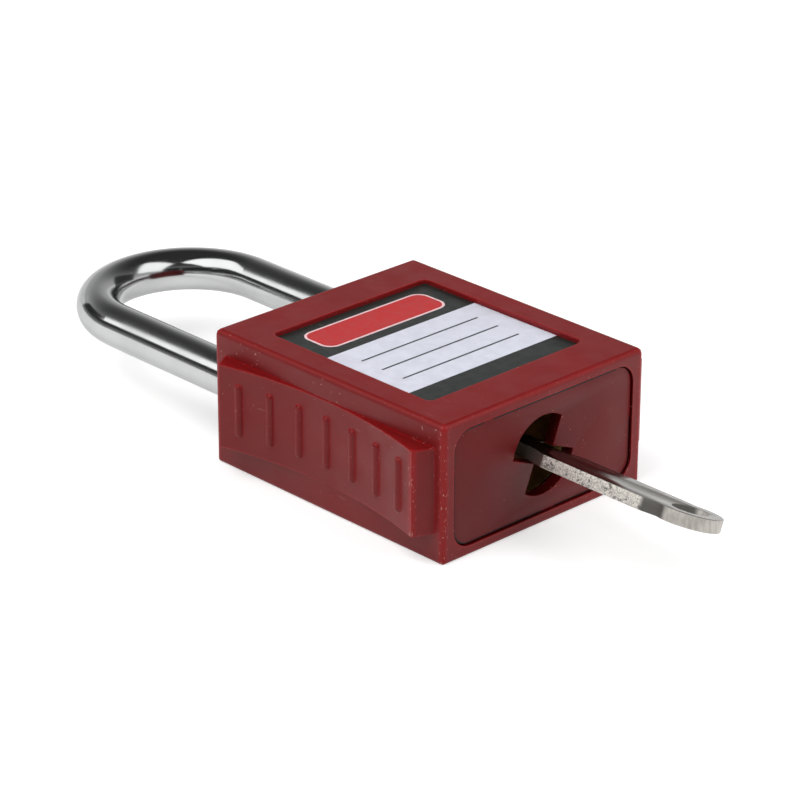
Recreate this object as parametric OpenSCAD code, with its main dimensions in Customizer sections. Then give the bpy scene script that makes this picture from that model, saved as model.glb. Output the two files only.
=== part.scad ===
// Compact safety lockout padlock: a moulded plastic body with gripping sides,
// a steel shackle held by two balls, and a wafer cylinder with its key in place.
// Frame: +X points out of the key end, -X towards the shackle, +Z out of the
// label face. The origin is the centre of the plain back face.
// Pose: the key is at the open end of its turn and the shackle is pushed home.

/* [Body] */
// Length of the body, key end to shackle end
body_l = 45; // [44:0.5:50]
// Width of the body without its side grips
body_w = 38; // [37.5:0.5:44]
// Thickness of the body
body_t = 20; // [19.5:0.5:24]
// Rounding of the body's outer edges
edge_r = 0.5; // [0.3:0.1:1.2]
// Thickness of the wall at the shackle end
end_wall = 4; // [3:0.25:4.5]
// Width of the pocket that holds the lock, and of the cover that closes it
pocket_w = 34; // [33.75:0.25:35]
// Height of the pocket and of the cover
pocket_h = 17; // [16.75:0.25:17.5]
// Corner radius of the pocket and of the cover
pocket_r = 3; // [2:0.25:4]

/* [Side grips] */
// Height of each grip block, across the body's thickness
grip_h = 12.4; // [10:0.2:15]
// Height of the middle of the grips over the back face
grip_z = 10.4; // [9.6:0.1:11]
// Radius of the hollow that the fingers hold, in plan
grip_arc_r = 72; // [66:1:90]
// Place of the grip's waist along the body
grip_waist_x = -0.3; // [-3:0.1:2]
// Material left over the body wall at the waist
grip_waist_rise = 0.15; // [0.1:0.05:0.6]
// End of the hollow towards the shackle
grip_rear_x = -18.8; // [-20.5:0.1:-18]
// End of the hollow towards the key
grip_front_x = 19.6; // [18:0.1:20]
// Run of the sloping end face towards the shackle
grip_rear_run = 1.5; // [0.5:0.1:1.6]
// Run of the sloping end face towards the key
grip_front_run = 1.3; // [0.5:0.1:1.6]
// Number of upright ribs on each grip
rib_count = 7; // [5:1:8]
// Distance between the ribs
rib_pitch = 5.3; // [4:0.05:6]
// Place of the middle of the row of ribs
rib_mid_x = 0.3; // [-3:0.1:1]
// Width of a rib
rib_w = 1.4; // [1:0.1:1.8]
// Height of a rib over the hollow
rib_rise = 0.5; // [0.3:0.05:0.6]
// Length of a rib
rib_l = 8; // [6:0.5:9]

/* [Label] */
// Length of the label's recess
label_l = 30.9; // [26:0.1:33]
// Width of the label's recess
label_w = 29.1; // [24:0.1:32]
// Place of the recess's middle along the body
label_x = -0.1; // [-1:0.05:1]
// Corner radius of the recess
label_r = 1; // [0.5:0.1:2]
// Depth of the recess
label_depth = 0.8; // [0.5:0.05:0.9]
// Thickness of the label
label_t = 0.25; // [0.2:0.05:0.5]

/* [Bottom cover] */
// Thickness of the cover plate
cover_t = 1.8; // [1.5:0.1:2.2]
// How far the cover lies under the body's end face
cover_sink = 0.3; // [0.1:0.05:0.6]
// Gap all round the cover
cover_gap = 0.12; // [0.08:0.02:0.2]
// Radius of the keyhole's two swept sectors
keyhole_r = 5.8; // [5.75:0.05:6.2]
// Width of the keyhole's slot
keyhole_slot = 2.7; // [2.2:0.1:3.2]
// Radius of the four pegs behind the cover
peg_r = 1.1; // [0.9:0.05:1.3]
// Length of the pegs
peg_l = 3; // [2:0.25:4]

/* [Shackle] */
// Diameter of the shackle's bar
bar_d = 6.4; // [6:0.1:6.5]
// Clear width between the legs
shackle_w = 20; // [19.5:0.1:20.5]
// Clear height inside the bend, over the body
shackle_clear = 38; // [25:1:76]
// Depth of the toe leg inside the body
toe_depth = 12; // [11:0.25:12.5]
// Length of the collar at the end of the heel leg
collar_l = 3.3; // [2.5:0.1:4]

/* [Locking] */
// Radius of the two locking balls
ball_r = 2.5; // [2.3:0.05:2.6]
// How far a locked ball bites into its leg
ball_bite = 1.1; // [0.8:0.05:1.2]
// Distance from the pocket's floor to the balls
ball_set = 4.5; // [4.3:0.1:5]
// Radius of the pin that keeps the heel leg in
keeper_r = 1; // [0.8:0.05:1.1]
// Distance from the balls to that pin
keeper_set = 10.5; // [10:0.25:11]
// Turn of the key between locked and open, in degrees
key_turn = 90; // [60:5:90]

/* [Cylinder] */
// Outer radius of the brass housing
housing_r = 7.4; // [7:0.05:7.6]
// Radius of the plug
plug_r = 5.3; // [5.2:0.05:5.4]
// Radius of the plug's head
head_r = 5.75; // [5.7:0.05:5.8]
// Thickness of the plug's head
head_t = 1.1; // [0.8:0.1:1.4]
// Length of the plug without its tail
plug_l = 21; // [20.5:0.25:21.5]
// Depth of the plug's face behind the cover
plug_recess = 5.7; // [5:0.1:6.5]
// Radius of the plug's tail
tail_r = 3.4; // [3:0.1:3.6]
// Distance between the wafers
wafer_pitch = 2.2; // [2.1:0.05:2.25]
// Thickness of a wafer
wafer_t = 0.8; // [0.6:0.05:0.9]
// Width of a wafer
wafer_w = 5.4; // [5:0.1:5.6]

/* [Key] */
// Angle of the key's blade at rest, seen from the key end, from +Y towards +Z
key_angle = -22; // [-24:1:-20]
// Thickness of the key
key_t = 1.8; // [1.6:0.05:1.9]
// Width of the blade
blade_w = 7; // [6.6:0.1:7.1]
// Width of the shoulder that stops on the plug
shoulder_w = 8.6; // [8.2:0.1:11.3]
// Length of the shoulder
shoulder_l = 1.8; // [1.4:0.1:2.6]
// Width of the neck between the shoulder and the grip bar
neck_w = 6; // [5:0.1:7]
// Distance from the plug's face to the end of the straight neck
neck_l = 5.9; // [5.4:0.1:6.4]
// Length over which the neck widens into the grip bar
neck_run = 3.4; // [2:0.2:4]
// Width of the grip bar
grip_bar_w = 9; // [8:0.1:10]
// Distance from the plug's face to the ring hole
ring_x = 31.3; // [26:0.1:34]
// Radius of the ring hole
ring_r = 2.5; // [2:0.1:3]
// Radius of the key's rounded end
bow_r = 4.5; // [4:0.1:5.5]
// Distance from the ring hole to the end of the straight bar
bar_end = 4.6; // [4:0.1:6]
// Step between two cut depths
cut_step = 0.25; // [0.2:0.01:0.25]

/* [Hidden] */
$fn = 64;
spring_sides = 6;
spring_steps = 12;
over = 1;
grip_root = 1;

// clearances
run_gap = 0.05;
ball_gap = 0.1;
cam_gap = 0.15;
case_gap = 0.15;
fit_gap = 0.1;
pin_gap = 0.02;
leg_gap = 0.15;

// places along X, from the key end inwards
front_x = body_l / 2;
rear_x = -body_l / 2;
axis_z = body_t / 2;
cover_front = front_x - cover_sink;
cover_back = cover_front - cover_t;
case_front = cover_back - fit_gap;
pocket_floor = rear_x + end_wall;
case_rear = pocket_floor + fit_gap;
housing_front = case_front - fit_gap;
plug_face = cover_front - plug_recess;
plug_back = plug_face - plug_l;
head_back = plug_face - head_t;
housing_back = plug_back;

// plug tail, clip and actuator
clip_t = 0.7;
clip_room = 0.6;
clip_opening = 70;
clip_r = 6;
clip_groove = 0.7;
clip_neck_r = tail_r - clip_groove;
clip_front = plug_back - run_gap;
clip_back = clip_front - clip_t;
tail_l = 1.6;
tail_back = clip_back - tail_l;
tenon_w = 4.6;
tenon_t = 2.2;
tenon_l = 2;
rotor_front = tail_back - fit_gap;
rotor_bearing = 1;
rotor_back = case_rear + rotor_bearing + fit_gap;
pivot_r = 2;
rotor_neck_r = 4.2;

// shackle and locking balls
leg_y = (shackle_w + bar_d) / 2;
bar_r = bar_d / 2;
bend_x = rear_x - shackle_clear - bar_d / 2 + leg_y;
toe_end = rear_x + toe_depth;
lift = toe_depth + 1;
ball_x = pocket_floor + ball_set;
leg_face = shackle_w / 2;
ball_in = leg_face - ball_gap - ball_r;
ball_out = leg_face + ball_bite - ball_r;
cam_low = ball_in - ball_r - cam_gap;
cam_high = ball_out - ball_r - cam_gap;
cam_room_r = cam_high + 2 * cam_gap;
cam_overlap = 0.5;
cam_front = ball_x + ball_r + cam_overlap;
neck_r = leg_y - ball_out - ball_r - ball_gap;
neck_lead = 1.5;
neck_start = ball_x + lift - ball_r - neck_lead;
keeper_x = ball_x + keeper_set;
keeper_y = leg_y - neck_r - ball_gap - keeper_r;
keeper_play = 0.2;
neck_end = keeper_x + keeper_r + lift + keeper_play;
heel_end = neck_end + collar_l;
end_chamfer = 0.8;
leg_bore_r = bar_r + leg_gap;
notch_gap = 0.2;
notch_r = ball_r + notch_gap;

// pin that keeps the housing in its case
housing_pin_r = 0.8;
housing_pin_set = 4.5;
housing_pin_rise = 0.2;
housing_pin_x = plug_face - housing_pin_set;
housing_pin_y = housing_r + housing_pin_rise;
case_w = pocket_w - 2 * case_gap;
case_h = pocket_h - 2 * case_gap;
case_r = pocket_r - case_gap;
pin_short = 0.5;
pin_chamfer = 0.25;
pin_l = case_h - pin_short;

// pegs of the cover
peg_y = pocket_w / 2 - pocket_r;
peg_z = pocket_h / 2 - pocket_r;
peg_gap = 0.08;
peg_hole_r = peg_r + peg_gap;
peg_root = 0.5;

// key, wafers and their springs, from the plug's head inwards
CUTS = [2, 4, 1, 3, 3, 1, 4, 2];
WAFERS = len(CUTS);
cut_deepest = max(CUTS) * cut_step;
cut_flat = 1.2;
blade_gap = 0.1;
wafer_set = 2.5;
wafer_first = plug_face - wafer_set;
blade_short = 1.1;
blade_room = 0.3;
blade_tip = plug_back + blade_short;
ring_y = 0.3;
bow_turn = 65;
bow_root_r = bow_r - fit_gap;
bow_taper = bow_root_r * cos(bow_turn);
bow_shoulder = bow_root_r * sin(bow_turn);
tip_taper = 2;
window_rest = 0.02;
wafer_r = plug_r - fit_gap;
lug_w = 1.6;
lug_l = 0.9;
lug_y = 0.6;
spring_z = wafer_w / 2 + lug_w / 2;
spring_r = 0.6;
spring_wire = 0.25;
spring_seat = -2.8;
spring_turns = 4;
groove_depth = 1;
groove_r = plug_r + groove_depth;
groove_room = 0.3;

BODY_RED = "#8a2f35";
STEEL = "#c9ccd0";
BRASS = "#b9964c";
ZINC = "#8f9296";
NICKEL = "#b4b1a8";
LABEL_WHITE = "#dcdce6";

// a rectangle with round corners, centred
module round_rect(w, h, r) {
    square([w - 2 * r, h], center = true);
    square([w, h - 2 * r], center = true);
    for (x = [-1, 1], y = [-1, 1])
        translate([x * (w / 2 - r), y * (h / 2 - r)]) circle(r);
}

// a profile in the YZ plane, drawn out along X between two places
module along_x(from, to) {
    translate([from, 0, axis_z]) rotate([90, 0, 90])
        linear_extrude(to - from) children();
}

// a round bar along X between two places
module bar_x(from, to, r) {
    translate([from, 0, 0]) rotate([0, 90, 0]) cylinder(h = to - from, r = r);
}

// the frame of the cylinder: X along the plug, Y along the blade, Z across it
module in_cylinder() {
    translate([0, 0, axis_z]) rotate([key_angle, 0, 0]) children();
}

// a box with all of its edges rounded
module soft_box(l, w, t, r) {
    intersection() {
        linear_extrude(t) round_rect(l, w, r);
        translate([0, w / 2 + over, t / 2]) rotate([90, 0, 0])
            linear_extrude(w + 2 * over) round_rect(l, t, r);
        translate([-l / 2 - over, 0, t / 2]) rotate([90, 0, 90])
            linear_extrude(l + 2 * over) round_rect(w, t, r);
    }
}

// distance of the hollow's surface from the middle plane, at a place along X
function hollow_y(x) = body_w / 2 + grip_waist_rise + grip_arc_r
    - sqrt(pow(grip_arc_r, 2) - pow(x - grip_waist_x, 2));

// one finger grip on the +Y side: a block with a hollow face and upright ribs
module grip() {
    root_y = body_w / 2 - grip_root;
    first_rib = rib_mid_x - (rib_count - 1) / 2 * rib_pitch;
    translate([0, 0, grip_z - grip_h / 2]) linear_extrude(grip_h) difference() {
        polygon([
            [grip_rear_x - grip_rear_run, root_y],
            [grip_rear_x - grip_rear_run, body_w / 2],
            [grip_rear_x, hollow_y(grip_rear_x)],
            [grip_front_x, hollow_y(grip_front_x)],
            [grip_front_x + grip_front_run, body_w / 2],
            [grip_front_x + grip_front_run, root_y]]);
        translate([grip_waist_x, body_w / 2 + grip_waist_rise + grip_arc_r])
            circle(grip_arc_r, $fn = 256);
    }
    for (i = [0 : rib_count - 1])
        grip_rib(first_rib + i * rib_pitch);
}

// one rib with rounded ends
module grip_rib(x) {
    sunk_y = hollow_y(x) + rib_rise - rib_w / 2;
    straight = rib_l - rib_w;
    translate([x, sunk_y, grip_z - straight / 2]) {
        cylinder(h = straight, r = rib_w / 2, $fn = 32);
        sphere(rib_w / 2, $fn = 32);
        translate([0, 0, straight]) sphere(rib_w / 2, $fn = 32);
    }
}

// moulded body with both grips, the pocket for the lock and the label's recess
module body_shell() {
    color(BODY_RED) difference() {
        union() {
            soft_box(body_l, body_w, body_t, edge_r);
            grip();
            mirror([0, 1, 0]) grip();
        }
        along_x(pocket_floor, front_x + over) round_rect(pocket_w, pocket_h, pocket_r);
        for (side = [-1, 1])
            translate([0, side * leg_y, axis_z])
                bar_x(rear_x - over, pocket_floor + over, leg_bore_r);
        translate([label_x, 0, body_t - label_depth])
            linear_extrude(label_depth + over) round_rect(label_l, label_w, label_r);
    }
}

// thin label that lies in the recess of the front face
module front_label() {
    color(LABEL_WHITE) translate([label_x, 0, body_t - label_depth])
        linear_extrude(label_t)
            round_rect(label_l - 2 * fit_gap, label_w - 2 * fit_gap, label_r - fit_gap);
}

// outline of the keyhole: a slot swept through the turn of the key
module keyhole() {
    intersection() {
        circle(keyhole_r);
        union() {
            for (turn = [0, -key_turn])
                rotate(key_angle + turn)
                    square([2 * (keyhole_r + over), keyhole_slot], center = true);
            for (half = [0, 180])
                rotate(key_angle + half) polygon([
                    [0, 0],
                    [2 * keyhole_r, 0],
                    2 * keyhole_r * [cos(key_turn / 2), -sin(key_turn / 2)],
                    2 * keyhole_r * [cos(key_turn), -sin(key_turn)]]);
        }
    }
}

// plate that closes the key end, with its keyhole and pegs
module bottom_cover() {
    color(BODY_RED) {
        along_x(cover_back, cover_front) difference() {
            round_rect(pocket_w - 2 * cover_gap, pocket_h - 2 * cover_gap,
                pocket_r - cover_gap);
            keyhole();
        }
        for (y = [-peg_y, peg_y], z = [-peg_z, peg_z])
            translate([0, y, axis_z + z]) bar_x(cover_back - peg_l, cover_back + peg_root, peg_r);
    }
}

// cast case that carries the shackle, the balls and the cylinder
module lock_case() {
    color(ZINC) difference() {
        along_x(case_rear, case_front) round_rect(case_w, case_h, case_r);
        translate([0, 0, axis_z]) {
            bar_x(housing_back - clip_t - clip_room, case_front + over, housing_r + run_gap);
            bar_x(rotor_back - fit_gap, housing_back, cam_room_r);
            bar_x(case_rear - over, rotor_back, pivot_r + run_gap);
            translate([0, leg_y, 0])
                bar_x(case_rear - over, toe_end + fit_gap, leg_bore_r);
            translate([0, -leg_y, 0])
                bar_x(case_rear - over, heel_end + fit_gap, leg_bore_r);
            translate([ball_x, leg_y, 0]) rotate([90, 0, 0])
                cylinder(h = 2 * leg_y, r = ball_r + run_gap);
        }
        translate([keeper_x, -keeper_y, axis_z]) upright_hole(keeper_r);
        translate([housing_pin_x, housing_pin_y, axis_z]) upright_hole(housing_pin_r);
        for (y = [-peg_y, peg_y], z = [-peg_z, peg_z])
            translate([0, y, axis_z + z])
                bar_x(cover_back - peg_l - peg_root, case_front + over, peg_hole_r);
    }
}

// hole along Z through the case, for a pin of the given radius
module upright_hole(r) {
    translate([0, 0, -case_h / 2 - over])
        cylinder(h = case_h + 2 * over, r = r + pin_gap);
}

// straight pin along Z with chamfered ends
module upright_pin(r) {
    translate([0, 0, axis_z - pin_l / 2]) {
        cylinder(h = pin_chamfer, r1 = r - pin_chamfer, r2 = r);
        translate([0, 0, pin_chamfer]) cylinder(h = pin_l - 2 * pin_chamfer, r = r);
        translate([0, 0, pin_l - pin_chamfer])
            cylinder(h = pin_chamfer, r1 = r, r2 = r - pin_chamfer);
    }
}

// brass tube that the plug turns in
module cylinder_housing() {
    groove_l = WAFERS * wafer_pitch + 2 * groove_room;
    groove_x = wafer_first - (WAFERS - 1) / 2 * wafer_pitch;
    color(BRASS) difference() {
        translate([0, 0, axis_z]) bar_x(housing_back, housing_front, housing_r);
        translate([0, 0, axis_z])
            bar_x(housing_back - over, housing_front + over, plug_r + run_gap);
        translate([0, 0, axis_z])
            bar_x(head_back - run_gap, housing_front + over, head_r + run_gap);
        in_cylinder() intersection() {
            translate([groove_x, 0, 0])
                cube([groove_l, wafer_w + groove_room, 2 * (groove_r + over)], center = true);
            bar_x(housing_back, housing_front, groove_r);
        }
        translate([housing_pin_x, housing_pin_y, axis_z])
            upright_hole(housing_pin_r);
    }
}

// pin across the case that keeps the housing from turning and sliding
module housing_pin() {
    color(STEEL) translate([housing_pin_x, housing_pin_y, 0]) upright_pin(housing_pin_r);
}

// pin across the case, beside the neck of the heel leg
module shackle_keeper_pin() {
    color(STEEL) translate([keeper_x, -keeper_y, 0]) upright_pin(keeper_r);
}

// bent steel bar: toe leg at +Y, heel leg with its neck and collar at -Y
module shackle() {
    color(STEEL) difference() {
        translate([0, 0, axis_z]) {
            translate([bend_x, 0, 0]) rotate([0, 0, 90])
                rotate_extrude(angle = 180) translate([leg_y, 0]) circle(bar_r);
            translate([0, leg_y, 0]) {
                bar_x(bend_x, toe_end - end_chamfer, bar_r);
                leg_tip(toe_end);
            }
            translate([0, -leg_y, 0]) {
                bar_x(bend_x, neck_start, bar_r);
                bar_x(neck_start - over, neck_end + over, neck_r);
                bar_x(neck_end, heel_end - end_chamfer, bar_r);
                leg_tip(heel_end);
            }
        }
        for (side = [-1, 1])
            translate([ball_x, side * ball_out, axis_z - bar_r - over])
                cylinder(h = bar_d + 2 * over, r = notch_r);
    }
}

// chamfered end of a leg
module leg_tip(end) {
    translate([end - end_chamfer, 0, 0]) rotate([0, 90, 0])
        cylinder(h = end_chamfer, r1 = bar_r, r2 = bar_r - end_chamfer);
}

// locking ball, drawn in; side is 1 for the toe leg and -1 for the heel leg
module locking_ball(side) {
    color(STEEL) translate([ball_x, side * ball_in, axis_z]) sphere(ball_r);
}

// where each wafer stands, and which edge of the blade it reads
function wafer_x(i) = wafer_first - i * wafer_pitch;
function wafer_flip(i) = (i % 2) * 180;
function cut_depth(i) = CUTS[i] * cut_step;

// brass plug with its keyway, wafer slots and spring pockets
module plug() {
    color(BRASS) in_cylinder() difference() {
        union() {
            bar_x(head_back, plug_face, head_r);
            bar_x(plug_back, head_back, plug_r);
            bar_x(clip_back - run_gap, plug_back, clip_neck_r);
            bar_x(tail_back, clip_back - run_gap, tail_r);
            translate([tail_back - tenon_l / 2, 0, 0])
                cube([tenon_l, tenon_w, tenon_t], center = true);
        }
        translate([blade_tip - blade_room, -blade_w / 2 - blade_gap, -key_t / 2 - blade_gap])
            cube([plug_face - blade_tip + over, blade_w + 2 * blade_gap,
                key_t + 2 * blade_gap]);
        for (i = [0 : WAFERS - 1])
            translate([wafer_x(i), 0, 0]) rotate([wafer_flip(i), 0, 0]) wafer_slot();
    }
}

// room in the plug for one wafer, its lug and its spring
module wafer_slot() {
    slot_t = wafer_t + 2 * run_gap;
    cube([slot_t, 2 * (plug_r + over), wafer_w + 2 * run_gap], center = true);
    translate([-slot_t / 2, spring_seat, 0])
        cube([slot_t, plug_r - spring_seat, wafer_w / 2 + lug_w + run_gap]);
    translate([0, lug_y, spring_z]) rotate([90, 0, 0])
        cylinder(h = lug_y - spring_seat, r = spring_r + fit_gap, $fn = 32);
}

// one wafer: a slip of brass with a window for the blade and a lug for its spring
module wafer(i) {
    window_low = -blade_w / 2 + cut_depth(i) - window_rest;
    window_high = blade_w / 2 + cut_deepest + blade_gap;
    color(BRASS) in_cylinder() translate([wafer_x(i), 0, 0]) rotate([wafer_flip(i), 0, 0])
        translate([-wafer_t / 2, 0, 0]) rotate([90, 0, 90]) linear_extrude(wafer_t)
            difference() {
                union() {
                    intersection() {
                        circle(wafer_r);
                        square([2 * wafer_r, wafer_w], center = true);
                    }
                    translate([lug_y, 0]) square([lug_l, wafer_w / 2 + lug_w]);
                }
                translate([window_low, -key_t / 2 - blade_gap])
                    square([window_high - window_low, key_t + 2 * blade_gap]);
            }
}

// a coil spring: one polyhedron swept along a helix, from y = 0 upwards
module coil_spring(l, r, wire, turns) {
    rings = turns * spring_steps;
    mean_r = r - wire / 2;
    rise = l - wire;
    points = [for (k = [0 : rings], j = [0 : spring_sides - 1])
        let (turn = k * 360 / spring_steps, round = j * 360 / spring_sides,
            reach = mean_r + wire / 2 * cos(round))
        [reach * cos(turn), wire / 2 + rise * k / rings + wire / 2 * sin(round),
            reach * sin(turn)]];
    sides = [for (k = [0 : rings - 1], j = [0 : spring_sides - 1])
        let (n = (j + 1) % spring_sides, a = k * spring_sides, b = a + spring_sides)
        [a + j, b + j, b + n, a + n]];
    first = [for (j = [0 : spring_sides - 1]) j];
    last = [for (j = [spring_sides - 1 : -1 : 0]) rings * spring_sides + j];
    polyhedron(points, concat(sides, [first], [last]), convexity = 4);
}

// spring that lifts one wafer against the edge of the blade
module wafer_spring(i) {
    color(STEEL) in_cylinder() translate([wafer_x(i), 0, 0]) rotate([wafer_flip(i), 0, 0])
        translate([0, spring_seat + pin_gap, spring_z])
            coil_spring(lug_y - spring_seat - 2 * pin_gap, spring_r, spring_wire, spring_turns);
}

// open ring that keeps the plug in the housing
module plug_clip() {
    color(STEEL) in_cylinder() translate([clip_back, 0, 0]) rotate([90, 0, 90])
        linear_extrude(clip_t) difference() {
            circle(clip_r);
            circle(clip_neck_r + run_gap);
            polygon([[0, 0], 2 * clip_r * [cos(clip_opening / 2), sin(clip_opening / 2)],
                2 * clip_r * [cos(clip_opening / 2), -sin(clip_opening / 2)]]);
        }
}

// radius of the cam that faces each ball, as the key turns by an angle
function cam_r(angle) = angle <= key_turn
    ? cam_low + (cam_high - cam_low) * angle / key_turn
    : cam_high - (cam_high - cam_low) * (angle - key_turn) / (180 - key_turn);

// rotor behind the plug: its two lobes push the balls out
module cam_actuator() {
    step = 5;
    color(ZINC) translate([0, 0, axis_z]) difference() {
        union() {
            translate([rotor_back, 0, 0]) rotate([90, 0, 90])
                linear_extrude(cam_front - rotor_back)
                    polygon([for (a = [0 : step : 355]) cam_r(a % 180) * [cos(a), sin(a)]]);
            bar_x(cam_front, rotor_front, rotor_neck_r);
            bar_x(case_rear + fit_gap, rotor_back, pivot_r);
        }
        rotate([key_angle, 0, 0])
            translate([rotor_front - (tenon_l + fit_gap) / 2 + over / 2, 0, 0])
                cube([tenon_l + fit_gap + over, tenon_w + 2 * run_gap,
                    tenon_t + 2 * run_gap], center = true);
    }
}

// outline of the key in its own plane, from the blade's tip to the round end
module key_outline() {
    difference() {
        union() {
            polygon([
                [blade_tip, -blade_w / 2 + tip_taper],
                [blade_tip + tip_taper, -blade_w / 2],
                [plug_face + over, -blade_w / 2],
                [plug_face + over, blade_w / 2],
                [blade_tip + tip_taper, blade_w / 2],
                [blade_tip, blade_w / 2 - tip_taper]]);
            translate([plug_face, 0]) polygon([
                [fit_gap, -shoulder_w / 2],
                [shoulder_l, -shoulder_w / 2],
                [shoulder_l, -neck_w / 2],
                [neck_l, -neck_w / 2],
                [neck_l + neck_run, -grip_bar_w / 2],
                [ring_x - bar_end, -grip_bar_w / 2],
                [ring_x - bow_taper, ring_y - bow_shoulder],
                [ring_x - bow_taper, ring_y + bow_shoulder],
                [ring_x - bar_end, grip_bar_w / 2],
                [neck_l + neck_run, grip_bar_w / 2],
                [neck_l, neck_w / 2],
                [shoulder_l, neck_w / 2],
                [shoulder_l, shoulder_w / 2],
                [fit_gap, shoulder_w / 2]]);
            translate([plug_face + ring_x, ring_y]) circle(bow_r);
        }
        translate([plug_face + ring_x, ring_y]) circle(ring_r);
        for (i = [0 : WAFERS - 1])
            translate([wafer_x(i), 0]) mirror([0, i % 2]) key_cut(cut_depth(i));
    }
}

// one cut in the blade's lower edge, with sloping flanks
module key_cut(depth) {
    edge = -blade_w / 2;
    polygon([
        [-cut_flat / 2, edge + depth],
        [cut_flat / 2, edge + depth],
        [cut_flat / 2 + depth + over, edge - over],
        [-cut_flat / 2 - depth - over, edge - over]]);
}

// flat key, pushed home in the plug
module key() {
    color(NICKEL) in_cylinder() translate([0, 0, -key_t / 2])
        linear_extrude(key_t) key_outline();
}

body_shell();
bottom_cover();
front_label();
lock_case();
cylinder_housing();
housing_pin();
shackle();
shackle_keeper_pin();
locking_ball(-1);  // locking_ball_left
locking_ball(1);  // locking_ball_right
plug();
plug_clip();
cam_actuator();
key();
wafer(0);  // wafer_1
wafer(1);  // wafer_2
wafer(2);  // wafer_3
wafer(3);  // wafer_4
wafer(4);  // wafer_5
wafer(5);  // wafer_6
wafer(6);  // wafer_7
wafer(7);  // wafer_8
wafer_spring(0);  // wafer_spring_1
wafer_spring(1);  // wafer_spring_2
wafer_spring(2);  // wafer_spring_3
wafer_spring(3);  // wafer_spring_4
wafer_spring(4);  // wafer_spring_5
wafer_spring(5);  // wafer_spring_6
wafer_spring(6);  // wafer_spring_7
wafer_spring(7);  // wafer_spring_8
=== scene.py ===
"""Dresses a lockout padlock: plastic mouldings, a printed label, chrome, nickel and brass."""

import math

import bmesh
import bpy
from bpy.props import FloatProperty, FloatVectorProperty, PointerProperty
from mathutils import Matrix, Vector


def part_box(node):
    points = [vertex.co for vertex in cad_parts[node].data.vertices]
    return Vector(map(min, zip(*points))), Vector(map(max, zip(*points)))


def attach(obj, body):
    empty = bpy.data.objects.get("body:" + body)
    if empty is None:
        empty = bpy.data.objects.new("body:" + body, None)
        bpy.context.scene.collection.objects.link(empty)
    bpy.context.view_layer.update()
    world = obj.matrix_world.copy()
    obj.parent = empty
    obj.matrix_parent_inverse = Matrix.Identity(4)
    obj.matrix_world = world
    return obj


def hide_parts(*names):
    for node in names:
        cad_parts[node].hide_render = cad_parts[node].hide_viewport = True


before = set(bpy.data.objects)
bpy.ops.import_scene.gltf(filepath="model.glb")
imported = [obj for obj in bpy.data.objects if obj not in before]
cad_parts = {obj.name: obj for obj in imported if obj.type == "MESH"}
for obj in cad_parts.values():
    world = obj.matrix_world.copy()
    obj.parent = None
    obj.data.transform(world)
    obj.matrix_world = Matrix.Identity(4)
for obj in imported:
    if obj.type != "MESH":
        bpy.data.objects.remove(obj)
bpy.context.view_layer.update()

bl_info = {
    "name": "Lockout padlock",
    "version": (1, 0, 0),
    "blender": (4, 5, 0),
    "location": "3D View > Sidebar > Padlock",
    "description": "Builds the visible pieces of a lockout padlock around its packed frame",
    "category": "Object",
}

MM = 0.001
MERGE = 0.0005 * MM  # vertices nearer to each other than this become one
FLAT_TURN = math.radians(0.2)  # faces that turn less than this join
SHARP_TURN = math.radians(32)  # edges that turn more than this are shaded as sharp

# Colours
WHITE = (1.0, 1.0, 1.0, 1.0)
RED = (0.165, 0.0022, 0.0030, 1.0)
INK = (0.009, 0.013, 0.011, 1.0)
PAPER = (0.60, 0.61, 0.69, 1.0)
BAR_RED = (0.44, 0.012, 0.014, 1.0)
BAR_LINE = (0.72, 0.50, 0.52, 1.0)
CHROME = (0.55, 0.556, 0.554, 1.0)
NICKEL = (0.45, 0.425, 0.39, 1.0)
BRASS = (0.60, 0.42, 0.17, 1.0)
# painted shade: near-black brass for the plug deep in the keyhole
SHADED_PLUG_BRASS = (0.060, 0.028, 0.012, 1.0)
ZINC = (0.42, 0.43, 0.44, 1.0)
STEEL = (0.56, 0.57, 0.59, 1.0)
WORN_RED = (0.62, 0.33, 0.30, 1.0)
HAIRLINE = (0.6, 0.6, 0.6, 1.0)
FLOOR_GREY = (0.62, 0.62, 0.62, 1.0)

# Places that the finishes and the painted shade and highlight follow: three stretches along the
# key, and the grips' ends
KEY_NECK = (25.7 * MM, 26.2 * MM)
KEY_ROUND_END = (43.0 * MM, 43.8 * MM)
KEY_TIP = (46.6 * MM, 47.6 * MM)
GRIP_END = 2.9 * MM

CANOPY_HEIGHT = 0.62
# Dark flags round the set, up to the canopy: name, bearing, width, glow at the foot and glow above
FLAGS = (
    ("front_flag", -130, 2.4, 0.32, 0.03),
    ("camera_flag", -58, 1.1, 0.42, 0.03),
    ("end_flag", -15, 0.6, 0.20, 0.03),
    ("far_flag", 84, 1.0, 0.30, 0.045),
)
# Bright panels: name, bearing, height, roll, lean, width, length, soft edge and glow
SOFT_PANELS = (
    ("front_panel", -110, 52, 15, 13, 0.78, 0.50, 0.03, 1.7),
    ("end_panel", 28, 45, 8, 0, 0.54, 0.46, 0.05, 1.7),
)
# Lamps: name, place, aim, size and power
LAMPS = (
    ("bank light", (-0.10, -0.24, 0.53), (-0.03, 0, 0.01), (0.60, 0.28), 2.1),
    ("top light", (0.35, 0.21, 0.46), (0, 0, 0), (0.38, 0.38), 1.80),
    ("front light", (-0.05, -0.50, 0.30), (0, 0, 0), (0.40, 0.25), 0.8),
    ("end light", (0.14, 0.12, 0.05), (0.022, 0.01, 0.01), (0.05, 0.05), 0.05),
)


def colour(name, default, description):
    """A colour that the user may change in the sidebar."""
    return FloatVectorProperty(name=name, description=description, subtype="COLOR", size=4,
                               min=0.0, max=1.0, default=default)


def length(name, default, description):
    """A length in metres that the user may change in the sidebar."""
    return FloatProperty(name=name, description=description, default=default, min=0.0,
                         unit="LENGTH", subtype="DISTANCE", precision=5)


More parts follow.
